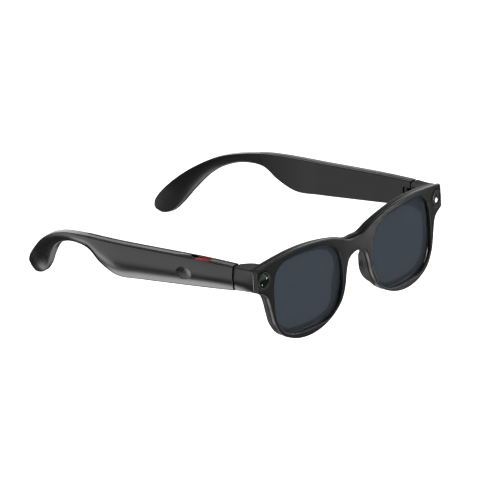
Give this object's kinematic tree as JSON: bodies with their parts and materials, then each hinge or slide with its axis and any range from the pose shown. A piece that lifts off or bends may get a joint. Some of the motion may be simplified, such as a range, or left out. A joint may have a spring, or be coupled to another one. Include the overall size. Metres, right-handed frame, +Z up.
{
  "type": "smart glasses",
  "caption": "Eyeglasses with a camera and a light in the corners of the front, folding temples that hold batteries and speakers, and a sliding power switch.",
  "frame": {"origin": "on the table plane, under the middle of the bounding box", "axes": "+X to the wearer's left, +Y from the front back to the ear tips, +Z up; the glasses stand unfolded on the two rims and the two ear tips"},
  "size_m": [0.1486, 0.1598, 0.0448],
  "materials": {
    "black_plastic": "satin-gloss moulded",
    "cover_plastic": "fine satin",
    "smoke_lens": "polished tinted",
    "dark_glass": "polished",
    "barrel_black": "matt",
    "white_window": "milky polished",
    "board_green": "solder mask",
    "flex_amber": "film",
    "hinge_steel": "brushed",
    "contact_gold": "plated",
    "battery_foil": "foil",
    "speaker_black": "matt",
    "mesh_steel": "woven",
    "red_plastic": "satin"
  },
  "bodies": {
    "front": {"front_plate": "black_plastic", "rear_frame": "black_plastic", "camera_bezel": "barrel_black", "camera_window": "dark_glass", "camera_barrel": "barrel_black", "camera_board": "board_green", "light_bezel": "barrel_black", "light_window": "white_window", "sensor_window": "dark_glass", "light_board": "board_green", "front_flex": "flex_amber", "microphone": "mesh_steel", "right_lens": "smoke_lens", "right_hinge_front_leaf": "hinge_steel", "right_hinge_front_screw": "hinge_steel", "right_hinge_pin": "hinge_steel", "left_lens": "smoke_lens", "left_hinge_front_leaf": "hinge_steel", "left_hinge_front_screw": "hinge_steel", "left_hinge_pin": "hinge_steel"},
    "right_temple": {"right_temple_shell": "black_plastic", "right_temple_cover": "cover_plastic", "right_hinge_temple_leaf": "hinge_steel", "right_hinge_temple_screw": "hinge_steel", "right_circuit_board": "board_green", "right_battery": "battery_foil", "right_speaker": "speaker_black", "right_speaker_mesh": "mesh_steel", "right_touch_sensor": "contact_gold", "right_charging_contact_front": "contact_gold", "right_charging_contact_rear": "contact_gold", "right_switch_mark": "red_plastic", "right_switch_body": "barrel_black"},
    "left_temple": {"left_temple_shell": "black_plastic", "left_temple_cover": "cover_plastic", "left_hinge_temple_leaf": "hinge_steel", "left_hinge_temple_screw": "hinge_steel", "left_circuit_board": "board_green", "left_battery": "battery_foil", "left_speaker": "speaker_black", "left_speaker_mesh": "mesh_steel"},
    "power_switch": {"right_switch_knob": "black_plastic"}
  },
  "joints": [
    {"name": "left_temple_fold", "type": "hinge", "parent": "front", "child": "left_temple", "pos_m": [0.06929, -0.05652, 0.03357], "axis": [0, 0.0716, 0.9974], "range_deg": [0, 85]},
    {"name": "right_temple_fold", "type": "hinge", "parent": "front", "child": "right_temple", "pos_m": [-0.06929, -0.05652, 0.03357], "axis": [0, -0.0716, -0.9974], "range_deg": [0, 75]},
    {"name": "power_switch_slide", "type": "slide", "parent": "right_temple", "child": "power_switch", "axis": [0, -0.9974, 0.0716], "range_m": [0, 0.008]}
  ]
}
